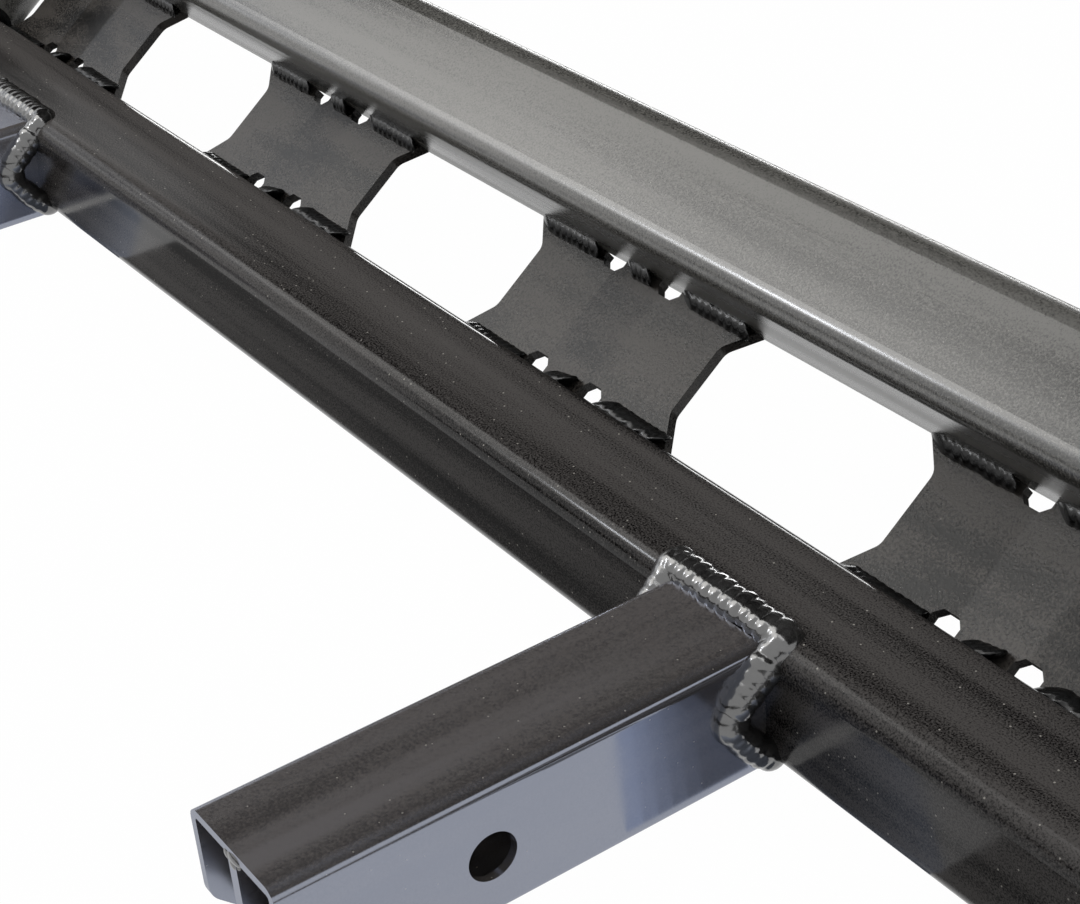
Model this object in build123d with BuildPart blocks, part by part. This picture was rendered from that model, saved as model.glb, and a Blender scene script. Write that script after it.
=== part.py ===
"""A pair of rock sliders: welded steel side rails that bolt to a vehicle's frame.

Millimetres. +X runs forward along the rails, +Y to the left side, +Z up. The origin lies midway between the
two sliders, level with the undersides of the legs. The left slider is modelled, and the right one mirrors it.
"""

import os
from math import atan2, cos, radians, sin, tan

from build123d import *

os.makedirs("parts", exist_ok=True)

# Square tube of the main rail and the outer rail
tube_size = 50.8
tube_corner_radius = 9.0
main_wall = 4.8
outer_wall = 3.2

# Main rail, which reaches past the outer rail at both ends
rail_overhang = 71.55
rail_cap_thickness = 5.0

# Legs, cut from sharper cornered square tube
leg_size = 50.8
leg_corner_radius = 5.0
leg_inner_radius = 1.2
leg_wall = 3.2
leg_length = 177.8
rear_leg_from_end = 253.0
front_leg_from_end = 385.0
leg_drop = 2.4
leg_gap = 150.0

# Open end of a leg: cross bolt hole, sloped trim of the lower corner, and the web plate
bolt_hole_diameter = 17.5
bolt_hole_from_end = 71.9
bolt_hole_height = 23.8
trim_rise = 16.0
trim_run = 16.0
trim_radius = 9.0
web_thickness = 4.8
web_length = 54.0

# Gusset plates between the rails, and the slope that they and the outer rail share
plate_count = 7
plate_pitch = 228.6
plate_thickness = 4.8
plate_slope = 37.0
plate_span = 57.2
plate_seat_drop = 9.1
outer_rail_lift = 12.9
plate_width = 139.7
plate_waist = 117.5
flare_inner = 15.5
flare_outer = 11.5
flare_radius = 6.0
joggle_width = 33.0
joggle_height = 3.5
crease_radius = 6.0
crown_radius = 28.0
notch_offset = 19.0
notch_width = 13.0
notch_inner_depth = 9.0
notch_outer_depth = 5.5
notch_chamfer = 3.0

# End returns of the outer rail
return_gap = 3.0
return_lap = 9.0

# Weld beads
leg_bead = 7.5
leg_bead_lap = 14.0
leg_bead_rounding = 6.0
leg_bead_reach = 23.0
leg_bead_bend_height = 30.0
leg_bead_bend_radius = 8.0
leg_bead_taper = 38.0
inner_bead = 8.0
outer_bead_on_plate = 4.5
outer_bead_on_rail = 7.0
return_bead = 6.0
return_bead_width = 2.5
bead_end_gap = 1.5

# Heights and distances that follow from the sizes above
half_tube = tube_size / 2
rail_bottom_z = leg_drop
rail_top_z = rail_bottom_z + tube_size
rail_inner_y = leg_gap / 2 + leg_length
rail_outer_y = rail_inner_y + tube_size
leg_end_y = leg_gap / 2
slope = radians(plate_slope)
outward = Vector(0, cos(slope), sin(slope))
upward = Vector(0, -sin(slope), cos(slope))
plate_seat = Vector(0, rail_outer_y, rail_top_z - plate_seat_drop)
plate_landing = plate_seat + outward * plate_span
outer_centre = plate_landing + upward * outer_rail_lift + outward * half_tube
plate_xs = [plate_pitch * (i - (plate_count - 1) / 2) for i in range(plate_count)]
return_x = plate_xs[-1] + plate_width / 2 + return_gap + half_tube
outer_rail_length = 2 * (return_x + half_tube)
main_rail_length = outer_rail_length + 2 * rail_overhang
rear_leg_x = rear_leg_from_end - main_rail_length / 2
front_leg_x = main_rail_length / 2 - front_leg_from_end
leg_xs = {"rear": rear_leg_x, "middle": (rear_leg_x + front_leg_x) / 2, "front": front_leg_x}

# A plane lying on the plates' top face, and one square to it that looks along the slope
slope_plane = Plane(origin=plate_seat, x_dir=(1, 0, 0), z_dir=upward)
section_plane = Plane(origin=plate_seat, x_dir=(1, 0, 0), z_dir=-outward)


def write_pair(name, piece):
    """Write the left slider's piece and its mirror twin on the right slider."""
    for side, twin in (("left", piece), ("right", mirror(piece, about=Plane.XZ))):
        twin.label = f"{side}_{name}"
        export_step(twin, f"parts/{twin.label}.step")


def square_tube(plane, size, radius, length):
    """Return a solid bar with rounded corners, centred on the plane along its normal."""
    with BuildPart() as bar:
        with BuildSketch(plane):
            RectangleRounded(size, size, radius)
        extrude(amount=length / 2, both=True)
    return bar.part


# Main rail: a hollow tube along X, and the bar that other pieces are cut to
main_axis = Plane(origin=(0, rail_inner_y + half_tube, rail_bottom_z + half_tube), x_dir=(0, 1, 0), z_dir=(1, 0, 0))
main_bar = square_tube(main_axis, tube_size, tube_corner_radius, main_rail_length)

with BuildPart() as main_rail:
    add(main_bar)
    with BuildSketch(main_axis):
        RectangleRounded(tube_size - 2 * main_wall, tube_size - 2 * main_wall, tube_corner_radius - main_wall)
    extrude(amount=main_rail_length / 2, both=True, mode=Mode.SUBTRACT)
write_pair("main_rail", main_rail.part)

# End caps: flat plates with the tube's outline, welded over its two ends and ground flush
for end, direction in (("front", 1), ("rear", -1)):
    with BuildPart() as rail_cap:
        with BuildSketch(main_axis.offset(direction * main_rail_length / 2)):
            RectangleRounded(tube_size, tube_size, tube_corner_radius)
        extrude(amount=direction * rail_cap_thickness)
    write_pair(f"rail_cap_{end}", rail_cap.part)

# Outer rail: a hollow tube rolled to the slope, mitred at both ends
outer_axis = Plane(origin=outer_centre, x_dir=outward, z_dir=(1, 0, 0))
mitre_reach = return_x + half_tube

with BuildPart() as outer_rail:
    with BuildSketch(outer_axis):
        RectangleRounded(tube_size, tube_size, tube_corner_radius)
        RectangleRounded(tube_size - 2 * outer_wall, tube_size - 2 * outer_wall,
                         tube_corner_radius - outer_wall, mode=Mode.SUBTRACT)
    extrude(amount=outer_rail_length / 2, both=True)
    with BuildSketch(Plane(origin=outer_centre, x_dir=(1, 0, 0), z_dir=upward)):
        with BuildLine():
            Polyline((-mitre_reach, half_tube), (mitre_reach, half_tube), (mitre_reach - tube_size, -half_tube),
                     (tube_size - mitre_reach, -half_tube), close=True)
        make_face()
    extrude(amount=tube_size, both=True, mode=Mode.INTERSECT)
write_pair("outer_rail", outer_rail.part)

# End returns: the same tube, mitred to the outer rail and coped down onto the main rail's outer top edge
for end, direction in (("front", 1), ("rear", -1)):
    return_axis = Plane(origin=outer_centre + Vector(direction * return_x, 0, 0), x_dir=(1, 0, 0), z_dir=-outward)
    with BuildPart() as end_return:
        with BuildSketch(return_axis):
            RectangleRounded(tube_size, tube_size, tube_corner_radius)
            RectangleRounded(tube_size - 2 * outer_wall, tube_size - 2 * outer_wall,
                             tube_corner_radius - outer_wall, mode=Mode.SUBTRACT)
        extrude(amount=half_tube + 4 * tube_size, both=True)
        with BuildSketch(Plane(origin=outer_centre, x_dir=(1, 0, 0), z_dir=upward)):
            with BuildLine():
                Polyline((direction * mitre_reach, half_tube),
                         (direction * (mitre_reach - tube_size), -half_tube),
                         (direction * (mitre_reach - tube_size), -4 * tube_size),
                         (direction * mitre_reach, -4 * tube_size), close=True)
            make_face()
        extrude(amount=tube_size, both=True, mode=Mode.INTERSECT)
        with BuildSketch(Plane(origin=(direction * return_x, 0, 0), x_dir=(0, 1, 0), z_dir=(1, 0, 0))):
            with Locations((rail_inner_y + return_lap, rail_bottom_z)):
                Rectangle(4 * tube_size, 4 * tube_size, align=(Align.MIN, Align.MIN))
        extrude(amount=tube_size, both=True, mode=Mode.INTERSECT)
        add(main_bar, mode=Mode.SUBTRACT)
    write_pair(f"return_{end}", end_return.part)


# Legs: square tube butted against the main rail's inner face, open at the vehicle's end. The lower corner of
# that end is trimmed on a slope, and a cross bolt passes through both side walls.
for leg_name, leg_x in leg_xs.items():
    leg_mid_z = leg_size / 2
    leg_plane = Plane(origin=(leg_x, leg_end_y, leg_mid_z), x_dir=(1, 0, 0), z_dir=(0, 1, 0))
    joint_plane = leg_plane.offset(leg_length)
    side_plane = Plane(origin=(leg_x, 0, 0), x_dir=(0, 1, 0), z_dir=(1, 0, 0))
    with BuildSketch(side_plane) as side_outline:
        with BuildLine():
            Polyline((leg_end_y, trim_rise), (leg_end_y + trim_run, 0), (rail_inner_y, 0),
                     (rail_inner_y, leg_size), (leg_end_y, leg_size), close=True)
        make_face()
        fillet(side_outline.vertices().sort_by_distance((leg_end_y, trim_rise))[0], radius=trim_radius)

    with BuildPart() as leg:
        with BuildSketch(leg_plane):
            RectangleRounded(leg_size, leg_size, leg_corner_radius)
            RectangleRounded(leg_size - 2 * leg_wall, leg_size - 2 * leg_wall, leg_inner_radius, mode=Mode.SUBTRACT)
        extrude(amount=leg_length)
        extrude(side_outline.sketch, amount=leg_size, both=True, mode=Mode.INTERSECT)
        with BuildSketch(side_plane):
            with Locations((leg_end_y + bolt_hole_from_end, bolt_hole_height)):
                Circle(bolt_hole_diameter / 2)
        extrude(amount=leg_size, both=True, mode=Mode.SUBTRACT)
    write_pair(f"leg_{leg_name}", leg.part)

    with BuildPart() as leg_web:
        with BuildSketch(side_plane):
            with Locations((leg_end_y, leg_wall)):
                Rectangle(web_length, leg_size - 2 * leg_wall, align=(Align.MIN, Align.MIN))
        extrude(amount=web_thickness / 2, both=True)
        extrude(side_outline.sketch, amount=leg_size, both=True, mode=Mode.INTERSECT)
    write_pair(f"leg_web_{leg_name}", leg_web.part)

    # Down each side of the leg the bead's toe runs out along the leg to a bend and back to the rail
    with BuildPart() as side_bead:
        with BuildSketch(Plane(origin=(leg_x + leg_size / 2, 0, 0), x_dir=(0, 1, 0), z_dir=(1, 0, 0))) as toe:
            with BuildLine():
                Polyline((rail_inner_y, leg_size), (rail_inner_y - leg_bead_reach, leg_bead_bend_height),
                         (rail_inner_y, 0), (rail_inner_y + tube_size, 0), (rail_inner_y + tube_size, leg_size),
                         close=True)
            make_face()
            fillet(toe.vertices().sort_by(Axis.Y)[0], radius=leg_bead_bend_radius)
        extrude(toe.sketch, amount=leg_bead, taper=leg_bead_taper)
        extrude(toe.sketch, amount=-leg_corner_radius)

    # Bead round the leg: a rounded collar over the main rail's edge, with the two side beads
    with BuildPart() as leg_weld:
        with BuildSketch(joint_plane):
            RectangleRounded(leg_size + 2 * leg_bead, leg_size + 2 * leg_bead, leg_corner_radius + leg_bead)
        extrude(amount=leg_bead_lap)
        fillet(leg_weld.faces().sort_by(Axis.Y)[0].edges(), radius=leg_bead_rounding)
        fillet(leg_weld.faces().sort_by(Axis.Y)[-1].edges(), radius=leg_bead_rounding)
        add(side_bead.part)
        add(mirror(side_bead.part, about=Plane(origin=(leg_x, 0, 0), z_dir=(1, 0, 0))))
        with BuildSketch(joint_plane):
            RectangleRounded(leg_size, leg_size, leg_corner_radius)
        extrude(amount=-2 * leg_bead_reach, mode=Mode.SUBTRACT)
        with BuildSketch(joint_plane):
            RectangleRounded(leg_size - 2 * leg_wall, leg_size - 2 * leg_wall, leg_inner_radius)
        extrude(amount=2 * leg_bead_lap, mode=Mode.SUBTRACT)
        with BuildSketch(side_plane):
            with Locations((leg_end_y, 0)):
                Rectangle(leg_length + leg_bead_lap, 2 * leg_size, align=(Align.MIN, Align.MIN))
        extrude(amount=leg_size, both=True, mode=Mode.INTERSECT)
        add(main_bar, mode=Mode.SUBTRACT)
    write_pair(f"leg_weld_{leg_name}", leg_weld.part)


# Gusset plate: sheet joggled along two creases, so that its front wing stands higher than its rear one. Its
# corners flare, and relief notches at both edges let each crease run out.
crease_x = joggle_width / 2
fold = atan2(joggle_height, joggle_width)
fold_shift = plate_thickness * tan(fold / 2)
flare_x = plate_width / 2
waist_x = plate_waist / 2

with BuildPart() as plate:
    with BuildSketch(section_plane) as sheet:
        with BuildLine():
            Polyline((-flare_x, -joggle_height), (-crease_x, -joggle_height), (crease_x, 0), (flare_x, 0),
                     (flare_x, -plate_thickness), (crease_x + fold_shift, -plate_thickness),
                     (fold_shift - crease_x, -joggle_height - plate_thickness),
                     (-flare_x, -joggle_height - plate_thickness), close=True)
        make_face()
        for corner, radius in (((-crease_x, -joggle_height), crease_radius),
                               ((fold_shift - crease_x, -joggle_height - plate_thickness),
                                crease_radius + plate_thickness),
                               ((crease_x, 0), crown_radius),
                               ((crease_x + fold_shift, -plate_thickness), crown_radius - plate_thickness)):
            fillet(sheet.vertices().sort_by_distance(corner)[0], radius=radius)
    extrude(amount=2 * plate_span, both=True)
    with BuildSketch(slope_plane) as outline:
        with BuildLine():
            Polyline((-flare_x, -plate_span), (-flare_x, 0), (-waist_x, flare_inner),
                     (-waist_x, plate_span - flare_outer), (-flare_x, plate_span), (flare_x, plate_span),
                     (waist_x, plate_span - flare_outer), (waist_x, flare_inner), (flare_x, 0),
                     (flare_x, -plate_span), close=True)
        make_face()
        fillet([outline.vertices().sort_by_distance((side * waist_x, y))[0] for side in (-1, 1)
                for y in (flare_inner, plate_span - flare_outer)], radius=flare_radius)
        for x in (-notch_offset, notch_offset):
            for bottom, depth, edge in ((-plate_span, notch_inner_depth + plate_span, Align.MIN),
                                        (plate_span + 1, notch_outer_depth + 1, Align.MAX)):
                with BuildSketch(slope_plane, mode=Mode.PRIVATE) as notch:
                    with Locations((x, bottom)):
                        Rectangle(notch_width, depth, align=(Align.CENTER, edge))
                    inner_end = notch.vertices().sort_by_distance((x, plate_span / 2))[0:2]
                    chamfer(inner_end, length=notch_chamfer)
                add(notch.sketch_local, mode=Mode.SUBTRACT)
    extrude(amount=plate_span, both=True, mode=Mode.INTERSECT)
    with BuildSketch(Plane(origin=(0, 0, 0), x_dir=(0, 1, 0), z_dir=(1, 0, 0))):
        with Locations((rail_outer_y, 0)):
            Rectangle(3 * plate_span, 3 * plate_span, align=(Align.MIN, Align.MIN))
    extrude(amount=plate_width, both=True, mode=Mode.INTERSECT)

for number, plate_x in enumerate(plate_xs, 1):
    write_pair(f"plate_{number}", plate.part.moved(Location((plate_x, 0, 0))))


def bead_section(plane, leg_a, angle_a, leg_b, angle_b):
    """Return a fillet bead's section: two legs from the origin at these angles, joined by a bulging face."""
    start = Vector(leg_a, 0).rotate(Axis.Z, angle_a)
    finish = Vector(leg_b, 0).rotate(Axis.Z, angle_b)
    with BuildSketch(plane) as section:
        with BuildLine():
            Line((0, 0), start)
            ThreePointArc(start, (start + finish) * 0.6, finish)
            Line(finish, (0, 0))
        make_face()
    return section.sketch


# Beads along the plates: three stretches on each edge, broken at the notches. The middle one climbs the joggle.
notch_far = notch_offset + notch_width / 2 + bead_end_gap
notch_near = notch_offset - notch_width / 2 - bead_end_gap
bead_end = flare_x - bead_end_gap
stretches = ((-bead_end, -notch_far, -joggle_height, 0), (-notch_near, notch_near, None, joggle_height / joggle_width),
             (notch_far, bead_end, 0, 0))

for edge, seat, climb, legs in (
        ("inner", plate_seat, Vector(0, 0, 1 / cos(slope)), (inner_bead, plate_slope, inner_bead, 116)),
        ("outer", plate_landing, upward, (outer_bead_on_rail, plate_slope + 90, outer_bead_on_plate,
                                          plate_slope + 180))):
    with BuildPart() as edge_beads:
        for start_x, end_x, drop, rise in stretches:
            if drop is None:
                drop = rise * (start_x - crease_x)
            origin = seat + Vector(start_x, 0, 0) + climb * drop
            run = Vector(1, 0, 0) + climb * rise
            section = bead_section(Plane(origin=origin, x_dir=(0, 1, 0), z_dir=(1, 0, 0)), *legs)
            extrude(section, amount=(end_x - start_x) * run.length, dir=run.normalized())
        add(main_bar, mode=Mode.SUBTRACT)
    with BuildPart() as plate_welds:
        for plate_x in plate_xs:
            add(edge_beads.part.moved(Location((plate_x, 0, 0))))
    write_pair(f"plate_welds_{edge}", plate_welds.part)

# Beads round the returns' coped feet
for end, direction in (("front", 1), ("rear", -1)):
    return_axis = Plane(origin=outer_centre + Vector(direction * return_x, 0, 0), x_dir=(1, 0, 0), z_dir=-outward)
    foot_y = rail_inner_y + return_lap
    with BuildPart() as return_weld:
        with BuildSketch(return_axis):
            RectangleRounded(tube_size + 2 * return_bead_width, tube_size + 2 * return_bead_width,
                             tube_corner_radius + return_bead_width)
        extrude(amount=4 * tube_size, both=True)
        with BuildSketch(main_axis.offset(direction * return_x)):
            RectangleRounded(tube_size + 2 * return_bead, tube_size + 2 * return_bead,
                             tube_corner_radius + return_bead)
        extrude(amount=2 * tube_size, both=True, mode=Mode.INTERSECT)
        with BuildSketch(Plane(origin=(direction * return_x, 0, 0), x_dir=(0, 1, 0), z_dir=(1, 0, 0))):
            with Locations((foot_y - return_bead, rail_bottom_z + tube_corner_radius)):
                Rectangle(4 * tube_size, 4 * tube_size, align=(Align.MIN, Align.MIN))
        extrude(amount=2 * tube_size, both=True, mode=Mode.INTERSECT)
        with BuildSketch(return_axis):
            RectangleRounded(tube_size, tube_size, tube_corner_radius)
        foot = extrude(amount=4 * tube_size, both=True, mode=Mode.PRIVATE)
        foot = split(foot, bisect_by=Plane(origin=(0, foot_y, 0), z_dir=(0, 1, 0)), keep=Keep.TOP,
                     mode=Mode.PRIVATE)
        add(foot, mode=Mode.SUBTRACT)
        add(main_bar, mode=Mode.SUBTRACT)
    write_pair(f"return_weld_{end}", return_weld.part)
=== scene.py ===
"""Pair of rock sliders: welded square tube side rails with raised outer rails, coated satin black."""

import math
import random

import bpy
from mathutils import Matrix, Vector


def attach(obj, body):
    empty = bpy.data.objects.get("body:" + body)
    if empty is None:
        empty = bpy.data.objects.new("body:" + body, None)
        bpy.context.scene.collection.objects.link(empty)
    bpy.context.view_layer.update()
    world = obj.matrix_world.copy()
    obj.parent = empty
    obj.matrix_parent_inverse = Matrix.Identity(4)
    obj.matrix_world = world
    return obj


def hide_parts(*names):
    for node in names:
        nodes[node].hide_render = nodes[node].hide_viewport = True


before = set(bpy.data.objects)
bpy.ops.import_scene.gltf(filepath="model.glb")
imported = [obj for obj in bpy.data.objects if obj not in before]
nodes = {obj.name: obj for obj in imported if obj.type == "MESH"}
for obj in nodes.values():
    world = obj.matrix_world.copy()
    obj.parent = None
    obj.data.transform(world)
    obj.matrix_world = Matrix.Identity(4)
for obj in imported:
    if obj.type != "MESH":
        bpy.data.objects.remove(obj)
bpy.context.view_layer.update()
bpy.ops.object.select_all(action="DESELECT")
SIDES = {"left": 1, "right": -1}


# Main rails and their end caps: 2 in square steel tube with a satin black powder coat, the caps welded on
# and ground flush. The coat gives a fine mottled grain, drawn at 0.7 mm and so a little coarser than the
# real one, to show, and a sparse dusting of pale specks.
def linear(code):
    """Turn an sRGB hex colour into the linear RGBA that a shader socket takes."""
    parts = [int(code[i:i + 2], 16) / 255 for i in (1, 3, 5)]
    return (*[c / 12.92 if c <= 0.04045 else ((c + 0.055) / 1.055) ** 2.4 for c in parts], 1.0)


def add_node(material, kind, sockets=(), **settings):
    """Add a shader node, then fill its sockets with values or with links from other nodes' outputs."""
    node = material.node_tree.nodes.new(kind)
    for name, value in settings.items():
        setattr(node, name, value)
    for socket, value in dict(sockets).items():
        if isinstance(value, bpy.types.NodeSocket):
            material.node_tree.links.new(value, node.inputs[socket])
        else:
            node.inputs[socket].default_value = value
    return node


MM = 0.001


def powder_coat(name, dark, light, specular, ior, roughness, grain_mm, grain_depth_mm, speck_share, drawn):
    """Mix a powder coat: two near shades in a fine mottle drawn out along the tube, and dust specks."""
    coat = bpy.data.materials.new(name)
    coat.use_nodes = True
    coat.node_tree.nodes.clear()
    place = add_node(coat, "ShaderNodeTexCoord").outputs["Object"]
    pulled = add_node(coat, "ShaderNodeMapping", {"Vector": place, "Scale": drawn}).outputs[0]
    drift = add_node(coat, "ShaderNodeTexNoise", {"Vector": pulled, "Scale": 1 / (16 * MM), "Detail": 3.0})
    grain = add_node(coat, "ShaderNodeTexNoise", {
        "Vector": place, "Scale": 1 / (grain_mm * MM), "Detail": 3.0, "Roughness": 0.7})
    mottle = add_node(coat, "ShaderNodeMath", {0: drift.outputs["Fac"], 1: 0.8, 2: grain.outputs["Fac"]},
                      operation="MULTIPLY_ADD")
    shade = add_node(coat, "ShaderNodeValToRGB", {"Fac": mottle.outputs[0]})
    for stop, position, code in zip(shade.color_ramp.elements, (0.76, 1.0), (dark, light)):
        stop.position = position
        stop.color = linear(code)
    specks = add_node(coat, "ShaderNodeTexVoronoi", {
        "Vector": place, "Scale": 1 / (5 * MM), "Randomness": 1.0})
    near = add_node(coat, "ShaderNodeMath", {0: specks.outputs["Distance"], 1: speck_share},
                    operation="LESS_THAN")
    colour = add_node(coat, "ShaderNodeMix", {
        0: near.outputs[0], 6: shade.outputs["Color"], 7: linear("#8f8b84")}, data_type="RGBA")
    gloss = add_node(coat, "ShaderNodeMapRange", {
        "Value": drift.outputs["Fac"], "From Min": 0.3, "From Max": 0.7,
        "To Min": roughness - 0.06, "To Max": roughness + 0.06})
    peel = add_node(coat, "ShaderNodeBump", {"Height": grain.outputs["Fac"], "Strength": 1.0,
                                             "Distance": grain_depth_mm * MM})
    paint = add_node(coat, "ShaderNodeBsdfPrincipled", {
        "Base Color": colour.outputs[2], "Roughness": gloss.outputs[0], "Normal": peel.outputs["Normal"],
        "Specular IOR Level": specular, "IOR": ior})
    add_node(coat, "ShaderNodeOutputMaterial", {"Surface": paint.outputs[0]})
    return coat


rail_coat = powder_coat("satin black powder coat", "#050404", "#4a4745", 0.18, 1.5, 0.16, 0.7, 0.0015, 0.07,
                        (0.03, 1, 1))
for side in SIDES:
    for piece in ("main_rail", "rail_cap_front", "rail_cap_rear"):
        nodes[f"{side}_{piece}"].material_slots[0].material = rail_coat


# Outer rails and their end returns: the same tube, rolled over to the plates' slope and mitred at the
# corners. Their coat has a coarser grain drawn out along the tube, and its shades are painted lighter than
# the main rails' for the studio light these rails catch: painted light.
outer_coat = powder_coat("grained black powder coat painted lighter", "#23221f", "#64625d", 1.0, 1.6, 0.27, 0.8, 0.003, 0.04,
                         (0.03, 1, 1))
for side in SIDES:
    for piece in ("outer_rail", "return_front", "return_rear"):
        nodes[f"{side}_{piece}"].material_slots[0].material = outer_coat


# Mounting legs: shorter lengths of sharper cornered tube, butt welded to the main rail, each with an
# upright web plate in its open end. Their coat is smoother and shinier, and a lit copy of the same black:
# its shades are painted lighter, its index of refraction is raised and its reflection tinted blue, so that
# it mirrors the white floor bright and bluish: painted sheen and painted reflection.
leg_coat = powder_coat("black powder coat with painted sheen", "#403c3a", "#5c5753", 1.0, 2.3, 0.18, 0.8, 0.004, 0.06,
                       (1, 0.05, 1))
# The blue specular tint is painted reflection: it tints what the legs' sides mirror blue.
leg_coat.node_tree.nodes["Principled BSDF"].inputs["Specular Tint"].default_value = linear("#e2eaff")
for side in SIDES:
    for place_name in ("rear", "middle", "front"):
        for piece in ("leg", "leg_web"):
            nodes[f"{side}_{piece}_{place_name}"].material_slots[0].material = leg_coat


# Gusset plates: laser cut and joggled sheet steel, set between the two rails on the same slope. Flat
# sheet takes the powder coat evenly, so the grain is fine and the gloss low. Its shades are painted a
# little darker than the rails', to take down the light the plates catch: painted shade.
plate_coat = powder_coat("satin black coated sheet painted darker", "#000000", "#433f3b", 0.3, 1.5, 0.26, 1.0, 0.10, 0.03,
                         (0.3, 1, 1))
for side in SIDES:
    for number in range(1, 8):
        nodes[f"{side}_plate_{number}"].material_slots[0].material = plate_coat


# Weld beads: hand-laid runs of overlapping puddles, coated with everything else. The smooth metal under
# the coat makes them glossy, with a bright glint on the ripples.
leg_bead_coat = powder_coat("gloss coated weld", "#121111", "#262524", 0.8, 1.9, 0.16, 2.0, 0.02, 0.0,
                            (1, 1, 1))
# The plate beads' coat is a duller copy with shades painted darker, for the shade between plate and tube:
# painted shade.
bead_coat = powder_coat("black coated weld painted darker", "#080808", "#141414", 0.4, 1.5, 0.26, 2.0, 0.02, 0.0,
                        (1, 1, 1))
chance = random.Random(7)


def join(pieces):
    """Join mesh objects into the first of them."""
    bpy.ops.object.select_all(action="DESELECT")
    for piece in pieces:
        piece.select_set(True)
    bpy.context.view_layer.objects.active = pieces[0]
    if len(pieces) > 1:
        bpy.ops.object.join()
    return bpy.context.object


def lay_bead(path, width, height, pitch, stretch, lean_deg):
    """Lay a run of overlapping, leaning puddles along (point, outward) pairs in millimetres."""
    bpy.ops.object.select_all(action="DESELECT")
    puddles = []
    lean = Matrix.Rotation(math.radians(lean_deg), 4, "X")
    carried = 0.0
    for (start, start_out), (end, end_out) in zip(path, path[1:]):
        start, end = Vector(start), Vector(end)
        start_out, end_out = Vector(start_out).normalized(), Vector(end_out).normalized()
        run = end - start
        along = run.normalized()
        reach = carried
        while reach < run.length:
            part = reach / run.length
            out = start_out.lerp(end_out, part).normalized()
            out = (out - along * out.dot(along)).normalized()
            across = along.cross(out)
            turned = Matrix((across, along, out)).transposed().to_4x4()
            spot = start.lerp(end, part) + across * chance.uniform(-0.3, 0.3)
            scale = chance.uniform(0.95, 1.06)
            bpy.ops.mesh.primitive_uv_sphere_add(segments=18, ring_count=10, radius=MM, location=(0, 0, 0))
            puddle = bpy.context.object
            size = Matrix.Diagonal((width / 2 * scale, pitch * stretch, height * scale, 1.0))
            puddle.data.transform(Matrix.Translation(spot * MM) @ turned @ lean @ size)
            puddles.append(puddle)
            reach += pitch * chance.uniform(0.92, 1.08)
        carried = reach - run.length
    return join(puddles)


def fuse(bead, voxel_mm):
    """Melt a bead's overlapping puddles into one closed skin."""
    bpy.ops.object.select_all(action="DESELECT")
    bpy.context.view_layer.objects.active = bead
    bead.select_set(True)
    melt = bead.modifiers.new("melt", "REMESH")
    melt.mode, melt.voxel_size = "VOXEL", voxel_mm * MM
    bpy.ops.object.modifier_apply(modifier=melt.name)
    bpy.ops.object.shade_smooth()
    return bead


def place_copies(bead, coat, name, shift_xs, side, *replaced):
    """Join copies of a bead at these X shifts into one piece on a side, in place of its CAD node."""
    copies = []
    for shift in shift_xs:
        twin = bead.copy()
        twin.data = bead.data.copy()
        bpy.context.scene.collection.objects.link(twin)
        twin.data.transform(Matrix.Translation((shift * MM, 0, 0)))
        if SIDES[side] < 0:
            twin.data.transform(Matrix.Diagonal((1, -1, 1, 1)))
            twin.data.flip_normals()
        copies.append(twin)
    piece = join(copies)
    piece.name = name
    piece.data.materials.clear()
    piece.data.materials.append(coat)
    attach(piece, "root")
    if replaced:
        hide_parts(*replaced)


# Beads round the legs: the top run laps over the main rail's rounded corner, with a ring shaped crater at
# one end and a smooth knob at both. From there each side run slants out along the leg's side to a bend
# and back under the rail. Places are millimetres from the leg's and the pair's middle lines.
RAIL_FACE = 252.8
LEG_XS = {"rear": -628.0, "middle": -66.0, "front": 496.0}


def knob(spot, radii):
    """Add a rounded lump of weld at a spot in millimetres."""
    bpy.ops.object.select_all(action="DESELECT")
    bpy.ops.mesh.primitive_uv_sphere_add(segments=24, ring_count=14, radius=MM, location=(0, 0, 0))
    lump = bpy.context.object
    lump.data.transform(Matrix.Translation(Vector(spot) * MM) @ Matrix.Diagonal((*radii, 1.0)))
    return lump


top_run = [((-25.0, RAIL_FACE + 6.4, 50.6), (0, -0.2, 1)),
           ((26.0, RAIL_FACE + 7.2, 50.6), (0, -0.2, 1))]
runs = [lay_bead(top_run, width=14.5, height=6.4, pitch=4.6, stretch=1.5, lean_deg=40)]
bpy.ops.mesh.primitive_torus_add(major_radius=3.4 * MM, minor_radius=1.5 * MM,
                                 major_segments=28, minor_segments=10)
crater = bpy.context.object
crater.data.transform(Matrix.Translation((-26.5 * MM, (RAIL_FACE + 7.4) * MM, 54.9 * MM)))
runs.append(crater)
for way in (-1, 1):
    upper_run = [((way * 27.5, RAIL_FACE + 2.0, 47.0), (way, -0.6, 0.3)),
                 ((way * 26.5, RAIL_FACE - 8.5, 38.0), (way, -0.3, 0.2)),
                 ((way * 26.0, RAIL_FACE - 15.0, 31.5), (way, -0.2, 0))]
    lower_run = [((way * 26.0, RAIL_FACE - 13.5, 24.0), (way, -0.2, 0)),
                 ((way * 26.5, RAIL_FACE - 6.5, 14.0), (way, -0.3, -0.2)),
                 ((way * 27.0, RAIL_FACE + 2.0, 5.5), (way, -0.5, 0))]
    runs.append(knob((way * 28.4, RAIL_FACE + 6.5, 48.9), (6.8, 7.6, 7.6)))
    runs.append(lay_bead(upper_run, width=13.0, height=5.6, pitch=4.8, stretch=1.5, lean_deg=-32))
    runs.append(knob((way * 26.0, RAIL_FACE - 14.5, 27.5), (5.4, 6.8, 8.0)))
    runs.append(lay_bead(lower_run, width=11.5, height=4.8, pitch=4.4, stretch=1.8, lean_deg=-35))
leg_bead = fuse(join(runs), voxel_mm=0.6)
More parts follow.
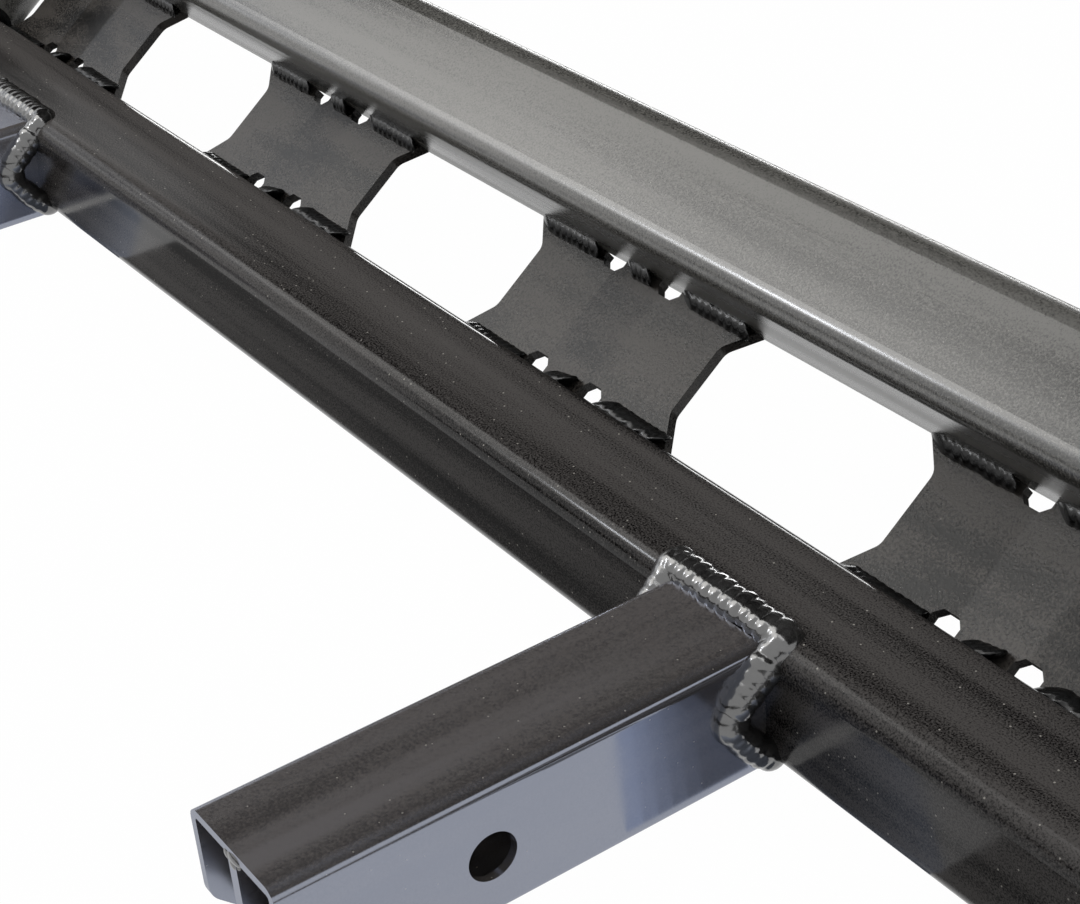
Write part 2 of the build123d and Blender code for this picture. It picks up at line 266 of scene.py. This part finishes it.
for side in SIDES:
    for place_name, leg_x in LEG_XS.items():
        place_copies(leg_bead, leg_bead_coat, f"{side}_leg_bead_{place_name}", [leg_x], side,
                     f"{side}_leg_weld_{place_name}")
bpy.data.objects.remove(leg_bead)


# Tacks: a small blob of weld in each leg's open end that holds the upright web to the leg's top wall.
# It was melted on in three touches, so it is lumpy.
tack = fuse(join([knob((1.8, 75.8, 47.6), (4.4, 1.6, 2.2)), knob((-2.6, 75.9, 46.8), (2.6, 1.4, 2.4)),
                  knob((0.2, 76.2, 44.6), (2.8, 1.7, 2.6))]), voxel_mm=0.3)
for side in SIDES:
    for place_name, leg_x in LEG_XS.items():
        place_copies(tack, leg_bead_coat, f"{side}_web_tack_{place_name}", [leg_x], side)
bpy.data.objects.remove(tack)


# Beads along the plates: three runs on each edge, broken where the relief notches let the creases out.
# The middle run climbs the joggle. They are low and dark, laid in the shade between plate and tube; their
# coat's darker shades are painted shade.
SLOPE = math.radians(37.0)
OUTWARD = Vector((0, math.cos(SLOPE), math.sin(SLOPE)))
UPWARD = Vector((0, -math.sin(SLOPE), math.cos(SLOPE)))
PLATE_SPAN = 57.2
SEAT = Vector((0, 303.6, 44.1))
LANDING = SEAT + OUTWARD * PLATE_SPAN
PLATE_PITCH = 228.6
PLATE_XS = [PLATE_PITCH * (number - 3) for number in range(7)]
JOGGLE, CREASE = 3.5, 16.5
PLATE_END, NOTCH_NEAR, NOTCH_FAR, BEAD_INSET = 69.5, 12.0, 26.0, 5.0


def joggle_drop(x):
    """Give how far the plate lies below its high half at this X."""
    return JOGGLE * min(max((CREASE - x) / (2 * CREASE), 0.0), 1.0)


inner_seat, inner_climb = SEAT + Vector((0, 2.2, 3.8)), Vector((0, 0, 1 / math.cos(SLOPE)))
outer_seat, outer_climb = LANDING - OUTWARD * 1.0 + UPWARD * 1.6, UPWARD
for edge, seat, climb, out, width, height in (
        ("inner", inner_seat, inner_climb, (0, 0.35, 0.94), 10.5, 1.7),
        ("outer", outer_seat, outer_climb, -OUTWARD + UPWARD * 0.8, 9.0, 1.1)):
    edge_runs = []
    for start_x, end_x in ((-PLATE_END, -NOTCH_FAR), (-NOTCH_NEAR, NOTCH_NEAR), (NOTCH_FAR, PLATE_END)):
        start = seat - climb * joggle_drop(start_x) + Vector((start_x + BEAD_INSET, 0, 0))
        end = seat - climb * joggle_drop(end_x) + Vector((end_x - BEAD_INSET, 0, 0))
        edge_runs.append(lay_bead([(start, out), (end, out)], width, height, pitch=4.0, stretch=2.0,
                                  lean_deg=24))
    edge_bead = fuse(join(edge_runs), voxel_mm=0.8)
    for side in SIDES:
        place_copies(edge_bead, bead_coat, f"{side}_plate_beads_{edge}", PLATE_XS, side,
                     f"{side}_plate_welds_{edge}")
    bpy.data.objects.remove(edge_bead)


# Beads of the end returns: plain fillets of weld round the returns' coped feet on the main rail, coated
# black with the rest. They take the plate beads' coat, whose darker shades are painted shade.
for side in SIDES:
    for end in ("front", "rear"):
        nodes[f"{side}_return_weld_{end}"].material_slots[0].material = bead_coat


# Floor and surroundings: a plain pale sheet under a plain pale sky. Camera, mirror and glass rays see
# them as the white of a studio, and a little of the floor's own shading stays for a faint shadow.
def direct_rays(owner):
    """Tell camera, mirror and glass rays, which see the white studio, from those that only light."""
    rays = add_node(owner, "ShaderNodeLightPath")
    seen = add_node(owner, "ShaderNodeMath", {
        0: rays.outputs["Is Camera Ray"], 1: rays.outputs["Is Glossy Ray"]}, operation="ADD")
    seen = add_node(owner, "ShaderNodeMath", {0: seen.outputs[0], 1: rays.outputs["Is Transmission Ray"]},
                    operation="ADD", use_clamp=True)
    return seen.outputs[0]


bpy.ops.object.select_all(action="DESELECT")
bpy.ops.mesh.primitive_plane_add(size=24.0, location=(0, 0, -0.2 * MM))
floor = bpy.context.object
floor.name = "studio_floor"
pale = bpy.data.materials.new("pale studio floor")
pale.use_nodes = True
pale.node_tree.nodes.clear()
share = add_node(pale, "ShaderNodeMath", {0: direct_rays(pale), 1: 0.99}, operation="MULTIPLY")
matt = add_node(pale, "ShaderNodeBsdfDiffuse", {"Color": linear("#a8a8a8")})
white = add_node(pale, "ShaderNodeEmission", {"Color": (1, 1, 1, 1), "Strength": 1.0})
both = add_node(pale, "ShaderNodeMixShader", {0: share.outputs[0], 1: matt.outputs[0], 2: white.outputs[0]})
add_node(pale, "ShaderNodeOutputMaterial", {"Surface": both.outputs[0]})
floor.data.materials.append(pale)

world = bpy.data.worlds.new("studio")
bpy.context.scene.world = world
world.use_nodes = True
world.node_tree.nodes.clear()
backdrop = add_node(world, "ShaderNodeBackground", {"Color": (1, 1, 1, 1), "Strength": 1.0})
fill = add_node(world, "ShaderNodeBackground", {"Color": linear("#f1f4f8"), "Strength": 0.5})
sky = add_node(world, "ShaderNodeMixShader", {
    0: direct_rays(world), 1: fill.outputs[0], 2: backdrop.outputs[0]})
add_node(world, "ShaderNodeOutputWorld", {"Surface": sky.outputs[0]})


# Lamps: a soft box high on the left with small ones beside it, a low strip behind the rails that draws
# the bright line along their far corners, and a soft top light.
def soft_box(name, place, target, width, height, power, tint):
    """Hang a rectangular area lamp at a place in metres, aimed at a target."""
    lamp = bpy.data.lights.new(name, "AREA")
    lamp.shape, lamp.size, lamp.size_y = "RECTANGLE", width, height
    lamp.energy, lamp.color = power, linear(tint)[:3]
    holder = bpy.data.objects.new(name, lamp)
    bpy.context.scene.collection.objects.link(holder)
    holder.location = place
    holder.rotation_euler = (Vector(target) - Vector(place)).to_track_quat("-Z", "Y").to_euler()


AIM = (-0.2, 0.33, 0.05)
soft_box("soft_box_left", (-1.14, -0.24, 0.93), AIM, 0.8, 0.8, 4.6, "#fffdf9")
soft_box("soft_box_low", (-1.56, -0.08, 0.56), AIM, 0.5, 0.5, 0.8, "#f3f7ff")
soft_box("strip_behind", (-1.75, 1.75, 0.12), AIM, 1.4, 0.2, 7.0, "#ffffff")
soft_box("glint_box", (-1.1, -0.5, 0.8), AIM, 0.12, 0.12, 1.4, "#f3f7ff")
soft_box("soft_top", (-0.2, 0.33, 1.75), AIM, 1.6, 1.6, 15.0, "#ffffff")


# Cards: dark and grey glowing sheets that only mirrored rays see, so each is a painted reflection. They
# keep the tops and inner faces of the tubes dark, paint the slider's shadow on the floor under its plates,
# and grade the white floor that a leg's side mirrors down to a painted shade beside its bead.
def card(name, corners, glow, tint="#ffffff"):
    """Lay a flat card with these corners in metres and this brightness."""
    bpy.ops.object.select_all(action="DESELECT")
    bpy.ops.mesh.primitive_plane_add(size=1.0, location=(0, 0, 0))
    sheet = bpy.context.object
    sheet.name = name
    for vertex, corner in zip(sheet.data.vertices, corners):
        vertex.co = corner
    sheet.visible_camera = sheet.visible_diffuse = sheet.visible_shadow = False
    paper = bpy.data.materials.new(name)
    paper.use_nodes = True
    paper.node_tree.nodes.clear()
    shine = add_node(paper, "ShaderNodeEmission", {"Color": linear(tint), "Strength": glow})
    add_node(paper, "ShaderNodeOutputMaterial", {"Surface": shine.outputs[0]})
    sheet.data.materials.append(paper)


def level(low_x, high_x, low_y, high_y, height):
    """Give the corners of a level card."""
    return [(x, y, height) for y in (low_y, high_y) for x in (low_x, high_x)]


CARD_LIFT = 0.4 * MM
card("black_card_overhead", level(-2.2, 1.3, 0.0, 1.8, 0.95), 0.012)
card("black_card_behind", ((-2.9, 1.0, 0.0), (-0.9, 3.1, 0.0), (-2.9, 1.0, 1.0), (-0.9, 3.1, 1.0)), 0.012)
card("dark_card_far_left", level(-2.8, -1.5, -0.7, 0.0, 0.94), 0.03)
# Low dark cards: a painted shadow of the slider on the floor under its plates, and a painted dark floor
# beyond it, both seen only in reflections.
card("painted_shadow_card_under_plates", level(-0.9, 0.9, 0.307, 0.362, CARD_LIFT), 0.03)
card("dark_card_outside", level(-2.6, 1.2, 0.42, 1.5, CARD_LIFT), 0.03)

LEG_HALF_MM, CLEAR_OF_LEG_MM, LAST_BAY_END_MM = 25.4, 28.0, 860.0
MIRRORED_OUT, MIRRORED_BACK, CARD_END_Y = 0.071, 0.0425, 0.249
leg_places = list(LEG_XS.values())
bay_ends = [leg_x - CLEAR_OF_LEG_MM for leg_x in leg_places[1:]] + [LAST_BAY_END_MM]
# The grey and graded cards glow as a painted reflection of the floor beside each leg, dimmer towards the
# rail: painted shade beside the rail and the leg's bead.
for number, (leg_x, bay_end) in enumerate(zip(leg_places, bay_ends)):
    start, end = (leg_x + LEG_HALF_MM) * MM, bay_end * MM
    card(f"painted_shade_card_low_{number}", level(start + MIRRORED_OUT, end, 0.207, CARD_END_Y, 0.5 * MM), 0.2)
    for step, (near_y, glow) in enumerate((
            (0.199, 0.85), (0.206, 0.68), (0.212, 0.52), (0.218, 0.38), (0.224, 0.28), (0.230, 0.2))):
        lift = CARD_LIFT + step * 0.1 * MM
        card(f"graded_card_{number}_{step}", (
            (start + 0.005, near_y, lift), (start + MIRRORED_OUT, near_y + MIRRORED_BACK, lift),
            (start + 0.005, CARD_END_Y, lift),
            (start + MIRRORED_OUT, CARD_END_Y + 0.001 * step, lift)), glow, "#dfe9ff")


# Camera: between the two sliders, looking down and outward along the left one, as the photograph does.
# It has a 75.7 mm lens on a 36 mm wide frame, about 0.7 m from the middle leg.
camera_data = bpy.data.cameras.new("camera")
camera_data.lens, camera_data.sensor_width, camera_data.sensor_fit = 75.73, 36.0, "HORIZONTAL"
camera_data.clip_start = 0.01
camera = bpy.data.objects.new("camera", camera_data)
bpy.context.scene.collection.objects.link(camera)
right, up = Vector((0.57274, 0.81655, -0.07221)), Vector((-0.39583, 0.35262, 0.84793))
back = Vector((0.71783, -0.45706, 0.52518))
camera_turn = Matrix((right, up, back)).transposed().to_4x4()
camera.matrix_world = Matrix.Translation((0.40811, -0.11003, 0.48311)) @ camera_turn
bpy.context.scene.camera = camera
bpy.context.scene.view_settings.view_transform = "Standard"

bpy.context.view_layer.update()
